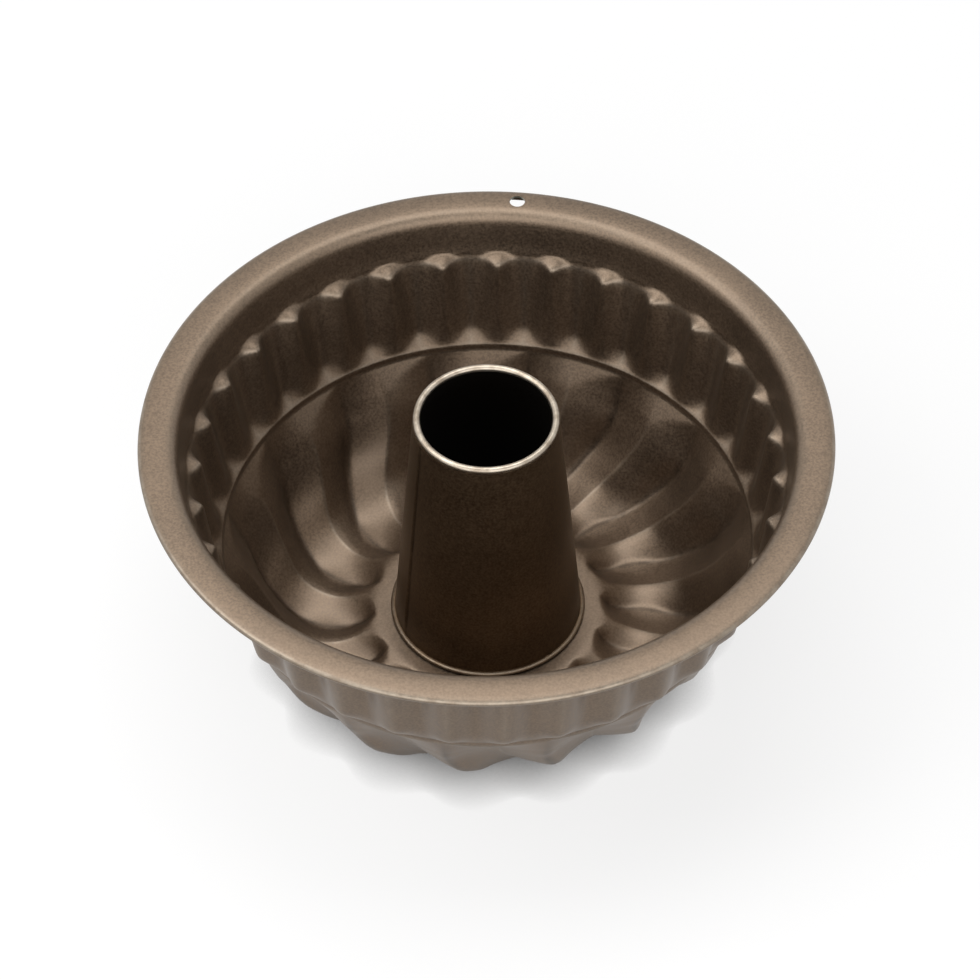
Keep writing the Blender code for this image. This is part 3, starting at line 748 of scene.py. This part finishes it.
# A near-black painted shade for the tube's bore.
BORE_PAINTED_SHADE_COLOUR = (0.004, 0.003, 0.002, 1.0)
shell_coating = coating(
    "bronze_coating",
    SHELL_DARK,
    SHELL_LIGHT,
    WEAR_AND_HIGHLIGHT_COLOUR,
    SHELL_ROUGHNESS,
    SHELL_METALLIC,
    clear_coat=SHELL_CLEAR_COAT,
)
cut_edge = coating(
    "cut_edge",
    CUT_EDGE_DARK,
    CUT_EDGE_LIGHT,
    WEAR_AND_HIGHLIGHT_COLOUR,
    CUT_EDGE_ROUGHNESS,
    SHELL_METALLIC,
    clear_coat=SHELL_CLEAR_COAT,
)
tube_coating = coating(
    "tube_coating",
    TUBE_DARK,
    TUBE_LIGHT,
    TUBE_WEAR_AND_HIGHLIGHT_COLOUR,
    TUBE_ROUGHNESS,
    TUBE_METALLIC,
    bore_painted_shade=BORE_PAINTED_SHADE_COLOUR,
)
print("coatings", shell_coating.name, cut_edge.name, tube_coating.name)

# %% [markdown]
# ## From tree to sheet
# The modifier's inputs are set before the tree runs for the first time. A Solidify gives the sheet its
# thickness, downwards, so the measured upper face stays where it is, and a Boolean cuts the hanging hole
# through both faces. The result is copied to a plain mesh, because later steps read plain meshes. In
# that mesh the hole's wall has the first material slot and all other faces have the second, so the slots
# get their finishes in that order.

# %% Run the tree and give the sheet its thickness
SHEET_THICKNESS = 0.7 * MM
grown = shell.modifiers.new("pressed_ring_mould", "NODES")
grown.node_group = shell_tree
identifiers = {item.name: item.identifier for item in shell_face.items_tree if item.in_out == "INPUT"}
for name, _, value in SHELL_INPUTS:
    grown[identifiers[name]] = shell_coating if name == "Coating" else value
thick = shell.modifiers.new("sheet_thickness", "SOLIDIFY")
thick.thickness = SHEET_THICKNESS
thick.offset = -1.0
thick.use_even_offset = True
print("modifiers", [modifier.name for modifier in shell.modifiers])

# %% Cut the hanging hole
HANGING_HOLE_RADIUS = 2.5 * MM
HANGING_HOLE_INSET = 5.4 * MM
HANGING_HOLE_SIDES = 48
CUTTER_LENGTH = 4.2 * MM
cutter_mesh = bpy.data.meshes.new("hole_cutter")
cutter_shape = bmesh.new()
bmesh.ops.create_cone(
    cutter_shape,
    cap_ends=True,
    segments=HANGING_HOLE_SIDES,
    radius1=HANGING_HOLE_RADIUS,
    radius2=HANGING_HOLE_RADIUS,
    depth=CUTTER_LENGTH,
    matrix=Matrix.Translation((0, rim_radius - HANGING_HOLE_INSET, rim_height)),
)
cutter_shape.to_mesh(cutter_mesh)
cutter_shape.free()
cutter = bpy.data.objects.new("hole_cutter", cutter_mesh)
bpy.context.scene.collection.objects.link(cutter)
hole = shell.modifiers.new("hanging_hole", "BOOLEAN")
hole.operation = "DIFFERENCE"
hole.solver = "EXACT"
hole.object = cutter
print("modifiers", [modifier.name for modifier in shell.modifiers])

# %% Copy the shell to a plain mesh
SHELL_SHARP_ANGLE = math.radians(60)


def to_plain_mesh(thing):
    """Replaces the object's mesh by its evaluated copy and takes the modifiers off."""
    graph = bpy.context.evaluated_depsgraph_get()
    plain = bpy.data.meshes.new_from_object(thing.evaluated_get(graph))
    thing.modifiers.clear()
    thing.data = plain
    plain.name = thing.name


to_plain_mesh(shell)
bpy.data.objects.remove(cutter, do_unlink=True)
for vertex in shell.data.vertices:
    vertex.co.z = max(vertex.co.z, 0.0)
shell.data.set_sharp_from_angle(angle=SHELL_SHARP_ANGLE)
for slot_number, finish in enumerate((cut_edge, shell_coating)):
    if slot_number == len(shell.data.materials):
        shell.data.materials.append(finish)
    shell.data.materials[slot_number] = finish
slot_of_face = np.zeros(len(shell.data.polygons), dtype=np.int32)
shell.data.polygons.foreach_get("material_index", slot_of_face)
print("faces of each finish", np.bincount(slot_of_face))
shell_triangles = sum(len(face.vertices) - 2 for face in shell.data.polygons)
print("shell:", len(shell.data.vertices), "points,", shell_triangles, "triangles")

# %% [markdown]
# ## The tube
# The tube is a strip of sheet rolled into a cone, so its outer layer ends in a lapped seam, a small step
# that fades out round the tube. Its mouth is hemmed, and its foot swells to a bead that grips the floor.
# It is turned from a section in mesh code, ring by ring, because the step at the seam is easiest to add
# there, and a lathe modifier would not know about it.

# %% The tube's section
TUBE_COLUMNS = 320
FOOT_CLEARANCE = 0.3 * MM
TUBE_THICKNESS = 0.6 * MM
MOUTH_RADIUS = 23.2 * MM
HEM_RADIUS = 1.2 * MM
WAIST_RADIUS = FLOOR_HOLE_RADIUS - FOOT_CLEARANCE
tube_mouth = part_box("centre_tube")[1].z
tube_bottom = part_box("centre_tube")[0].z
floor_height = rim_height - FLOOR_DEPTH
SEAM_ANGLE = math.radians(236.0)
SEAM_STEP = 0.45 * MM
SEAM_LAP_ANGLE = math.radians(22.0)
FOOT_RETURN_WIDTH = 2.0 * MM
BEAD_HALF_HEIGHT = 0.7 * MM
BEAD_RISE = 0.3 * MM
BEAD_SWELL = 1.0 * MM
BEAD_TURNS = np.linspace(-90, 90, 9)
# The bead is lightened for rubbing with a painted highlight, and painted shade lies in its upper crease.
BEAD_WEAR_AND_HIGHLIGHT = 0.5
BEAD_PAINTED_SHADE = 0.9
BEAD_PAINTED_SHADE_TURN = 60
WALL_RINGS = 24
WALL_BELOW_MOUTH = 2.0 * MM
SEAM_START = 20
SEAM_END = 30
SEAM_AT_MOUTH = 0.2
HEM_TURNS = np.linspace(-50, 250, 19)
HEM_BORE_TURN = 200
HEM_LIP_WIDTH = 0.5 * MM
HEM_LIP_DROP = 0.4 * MM
BORE_RINGS = 12

tube_section = []


def add_section(radius, height, step=0.0, wear_and_highlight=0.0, bore=0.0, painted_shade=0.0):
    """One ring of the tube: its place, its share of the seam's step, and its marks."""
    tube_section.append((radius, height, step, wear_and_highlight, bore, painted_shade))


under_floor = floor_height - SHEET_THICKNESS - FOOT_CLEARANCE
bead_bottom = floor_height + FOOT_CLEARANCE
bead_top = bead_bottom + 2 * BEAD_HALF_HEIGHT
wall_top = tube_mouth - WALL_BELOW_MOUTH
add_section(WAIST_RADIUS + FOOT_RETURN_WIDTH, tube_bottom)
add_section(WAIST_RADIUS + FOOT_RETURN_WIDTH, under_floor)
add_section(WAIST_RADIUS, under_floor)
# Painted shade where the bead meets the floor.
add_section(WAIST_RADIUS, bead_bottom, painted_shade=1.0)
for turn in BEAD_TURNS:
    swell = math.cos(math.radians(turn))
    rise = math.sin(math.radians(turn))
    radius = WAIST_RADIUS + BEAD_RISE + BEAD_SWELL * swell
    height = (bead_bottom + bead_top) / 2 + rise * BEAD_HALF_HEIGHT
    add_section(radius, height, wear_and_highlight=BEAD_WEAR_AND_HIGHLIGHT * swell, painted_shade=BEAD_PAINTED_SHADE * (turn > BEAD_PAINTED_SHADE_TURN))
for share in np.linspace(0, 1, WALL_RINGS):
    radius = WAIST_RADIUS + (MOUTH_RADIUS - WAIST_RADIUS) * share
    height = bead_top + (wall_top - bead_top) * share
    add_section(radius, height, step=min(1.0, SEAM_START * share, SEAM_END * (1 - share) + SEAM_AT_MOUTH))
hem_radius = MOUTH_RADIUS - HEM_RADIUS
hem_height = tube_mouth - HEM_RADIUS
for turn in HEM_TURNS:
    radius = hem_radius + HEM_RADIUS * math.cos(math.radians(turn))
    height = hem_height + HEM_RADIUS * math.sin(math.radians(turn))
    # The hem's outside is lightened for rubbing with a painted highlight; its inner turn gets the bore's
    # painted shade.
    bore = 1.0 if turn > HEM_BORE_TURN else 0.0
    add_section(radius, height, wear_and_highlight=1.0 - bore, bore=bore)
under_hem = hem_height - HEM_RADIUS
# Painted shade under the hem's lip.
add_section(MOUTH_RADIUS - TUBE_THICKNESS - HEM_LIP_WIDTH, under_hem, bore=1.0, painted_shade=1.0)
add_section(MOUTH_RADIUS - TUBE_THICKNESS, under_hem - HEM_LIP_DROP, bore=1.0, painted_shade=1.0)
for share in np.linspace(0.1, 1, BORE_RINGS):
    radius = MOUTH_RADIUS + (WAIST_RADIUS - MOUTH_RADIUS) * share - TUBE_THICKNESS
    add_section(radius, wall_top + (bead_top - wall_top) * share, bore=1.0)
add_section(WAIST_RADIUS - TUBE_THICKNESS, tube_bottom, bore=1.0)
print(len(tube_section), "rings in the tube's section")

# %% Turn the tube
seam_edge = SEAM_STEP / MOUTH_RADIUS
after_seam = np.linspace(seam_edge, math.tau, TUBE_COLUMNS)[1:-1]
tube_angles = SEAM_ANGLE + np.concatenate([[0, seam_edge], after_seam])
past_seam = tube_angles - SEAM_ANGLE
lap = np.clip(1 - past_seam / SEAM_LAP_ANGLE, 0, 1) * (past_seam > 0)
section_values = np.array(tube_section)
turned_radii = section_values[:, 0, None] + SEAM_STEP * section_values[:, 2, None] * lap
tube_points = np.stack(
    [
        turned_radii * np.sin(tube_angles),
        turned_radii * np.cos(tube_angles),
        np.broadcast_to(section_values[:, 1, None], turned_radii.shape),
    ],
    axis=-1,
)
ring_total, column_total = turned_radii.shape
tube_faces = []
for i in range(ring_total):
    below = (i + 1) % ring_total
    for j in range(column_total):
        after = (j + 1) % column_total
        corners = (i, j), (below, j), (below, after), (i, after)
        tube_faces.append([row * column_total + place for row, place in corners])
print(len(tube_faces), "faces round the tube")

# %% Make the tube's mesh and its marks
# Painted shade along the seam's step.
SEAM_DARK_AFTER = 0.02
SEAM_DARK_BEFORE = 0.03
SEAM_DARKNESS = 0.9
TUBE_SHARP_ANGLE = math.radians(55)
tube_mesh = bpy.data.meshes.new("rolled_tube")
tube_mesh.from_pydata(tube_points.reshape(-1, 3).tolist(), [], tube_faces)
tube_shape = bmesh.new()
tube_shape.from_mesh(tube_mesh)
bmesh.ops.recalc_face_normals(tube_shape, faces=tube_shape.faces)
tube_shape.to_mesh(tube_mesh)
tube_shape.free()
dark_after = np.clip(1 - np.abs(past_seam) / SEAM_DARK_AFTER, 0, 1)
dark_before = np.clip(1 - (math.tau - past_seam) / SEAM_DARK_BEFORE, 0, 1)
seam_painted_shade = np.maximum(dark_after * SEAM_DARKNESS, dark_before * SEAM_DARKNESS)
# The tube's marks: lightening for rubbing with a painted highlight, the bore's painted shade, and painted
# shade in creases and at the seam.
tube_marks = {
    "wear_and_highlight": np.broadcast_to(section_values[:, 3, None], turned_radii.shape),
    "bore": np.broadcast_to(section_values[:, 4, None], turned_radii.shape),
    "painted_shade": np.maximum(section_values[:, 5, None], seam_painted_shade * (section_values[:, 2, None] > 0.5)),
}
for mark, values in tube_marks.items():
    stored = tube_mesh.attributes.new(mark, "FLOAT", "POINT")
    stored.data.foreach_set("value", np.ascontiguousarray(values, dtype=np.float32).ravel())
tube_mesh.shade_smooth()
tube_mesh.set_sharp_from_angle(angle=TUBE_SHARP_ANGLE)
tube_mesh.materials.append(tube_coating)
tube = bpy.data.objects.new("rolled_tube", tube_mesh)
bpy.context.scene.collection.objects.link(tube)
print("tube:", len(tube_mesh.vertices), "points,", 2 * len(tube_mesh.polygons), "triangles")

# %% [markdown]
# ## On the frame
# Each piece says which CAD solid it stands for, which body it moves with and which finish of the record
# it has.

# %% Put the pieces in the CAD solids' places
PLACES = (
    (shell, "mould_shell", "shell_coating"),
    (tube, "centre_tube", "tube_coating"),
)
for piece, node, finish in PLACES:
    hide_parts(node)
    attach(piece, "root")
    print(piece.name, "stands for", node)

# %% [markdown]
# ## The floor and the light
# The mould stands on a white sweep, with white air all round. Three softboxes light it: one overhead and
# a little behind, one high on the left, and a wide low one in front. The flange mirrors the air behind
# it, the bottoms of the lobes mirror the softbox overhead, and the outer wall mirrors the floor. Most of
# the floor's white is its own, and only the camera and the metal see it. It fades close under the mould,
# where little light gets in, and the floor takes the softboxes' shadow as well.

# %% The floor
FLOOR_HALF = 4.0
FLOOR_BELOW_MOULD = 0.05 * MM
FLOOR_COLOUR = (0.25, 0.25, 0.25, 1.0)
FLOOR_ROUGHNESS = 0.9
WHITE = (1.0, 1.0, 1.0, 1.0)
floor_mesh = bpy.data.meshes.new("studio_floor")
floor_corners = [(x * FLOOR_HALF, y * FLOOR_HALF, 0) for x, y in ((-1, -1), (1, -1), (1, 1), (-1, 1))]
floor_mesh.from_pydata(floor_corners, [], [(0, 1, 2, 3)])
floor = bpy.data.objects.new("studio_floor", floor_mesh)
floor.location.z = -FLOOR_BELOW_MOULD
bpy.context.scene.collection.objects.link(floor)
floor_finish = bpy.data.materials.new("white_sweep")
floor_finish.use_nodes = True
floor_tree = floor_finish.node_tree
floor_shader = floor_tree.nodes["Principled BSDF"]
floor_shader.inputs["Base Color"].default_value = FLOOR_COLOUR
floor_shader.inputs["Roughness"].default_value = FLOOR_ROUGHNESS
floor_shader.inputs["Specular IOR Level"].default_value = 0.0
floor_shader.inputs["Emission Color"].default_value = WHITE
print("floor", 2 * FLOOR_HALF, "m wide")

# %% The floor's own white
FLOOR_OWN_WHITE = 0.76
CONTACT_SHADOW_REACH = 13.0 * MM
CONTACT_SHADOW_SAMPLES = 4


def seen_rays(tree):
    """1 on the rays that the camera, metal and glass see by, 0 on the rays that carry light."""
    rays = add_node(tree, "ShaderNodeLightPath").outputs
    seen = maths(tree, "MAXIMUM", rays["Is Camera Ray"], rays["Is Glossy Ray"])
    return maths(tree, "MAXIMUM", seen, rays["Is Transmission Ray"])


contact = add_node(floor_tree, "ShaderNodeAmbientOcclusion", samples=CONTACT_SHADOW_SAMPLES)
contact.inputs["Distance"].default_value = CONTACT_SHADOW_REACH
seen_white = maths(floor_tree, "MULTIPLY", seen_rays(floor_tree), FLOOR_OWN_WHITE)
own_white = maths(floor_tree, "MULTIPLY", seen_white, contact.outputs["AO"])
feed(floor_tree, floor_shader.inputs["Emission Strength"], own_white)
floor_mesh.materials.append(floor_finish)
print("own white", FLOOR_OWN_WHITE)

# %% The softboxes
SOFTBOXES = (
    ("softbox_overhead", 0.0, 74.0, 2.2, 1.6, 1.4, 3.1),
    ("softbox_left", 270.0, 52.0, 2.2, 1.4, 1.4, 3.0),
    ("softbox_before", 180.0, 34.0, 2.3, 3.6, 1.8, 1.9),
)


def add_softbox(name, azimuth, elevation, distance, width, depth, radiance):
    """A softbox aimed at the mould. Its azimuth is clockwise from the far side, seen from above."""
    lamp = bpy.data.lights.new(name, "AREA")
    lamp.shape = "RECTANGLE"
    lamp.size = width
    lamp.size_y = depth
    lamp.energy = radiance * math.pi * width * depth
    turned = math.radians(azimuth) - CAMERA_TURN
    flat = distance * math.cos(math.radians(elevation))
    high = distance * math.sin(math.radians(elevation))
    place = Vector((flat * math.sin(turned), flat * math.cos(turned), high))
    box = bpy.data.objects.new(name, lamp)
    aimed = (-place).to_track_quat("-Z", "Y").to_matrix().to_4x4()
    box.matrix_world = Matrix.Translation(place) @ aimed
    bpy.context.scene.collection.objects.link(box)
    print(name, "at", [round(v, 2) for v in place], "power", round(lamp.energy, 1))


for softbox in SOFTBOXES:
    add_softbox(*softbox)

# %% The air
AIR_LIGHT = 0.12
AIR_SEEN = 1.0
air = bpy.data.worlds.new("studio_air")
bpy.context.scene.world = air
air.use_nodes = True
air_tree = air.node_tree
backdrop = air_tree.nodes["Background"]
backdrop.inputs["Color"].default_value = WHITE
air_strength = between(air_tree, seen_rays(air_tree), AIR_LIGHT, AIR_SEEN)
feed(air_tree, backdrop.inputs["Strength"], air_strength)
bpy.context.scene.view_settings.view_transform = "Standard"
print("air gives", AIR_LIGHT, "as light and is seen at", AIR_SEEN)
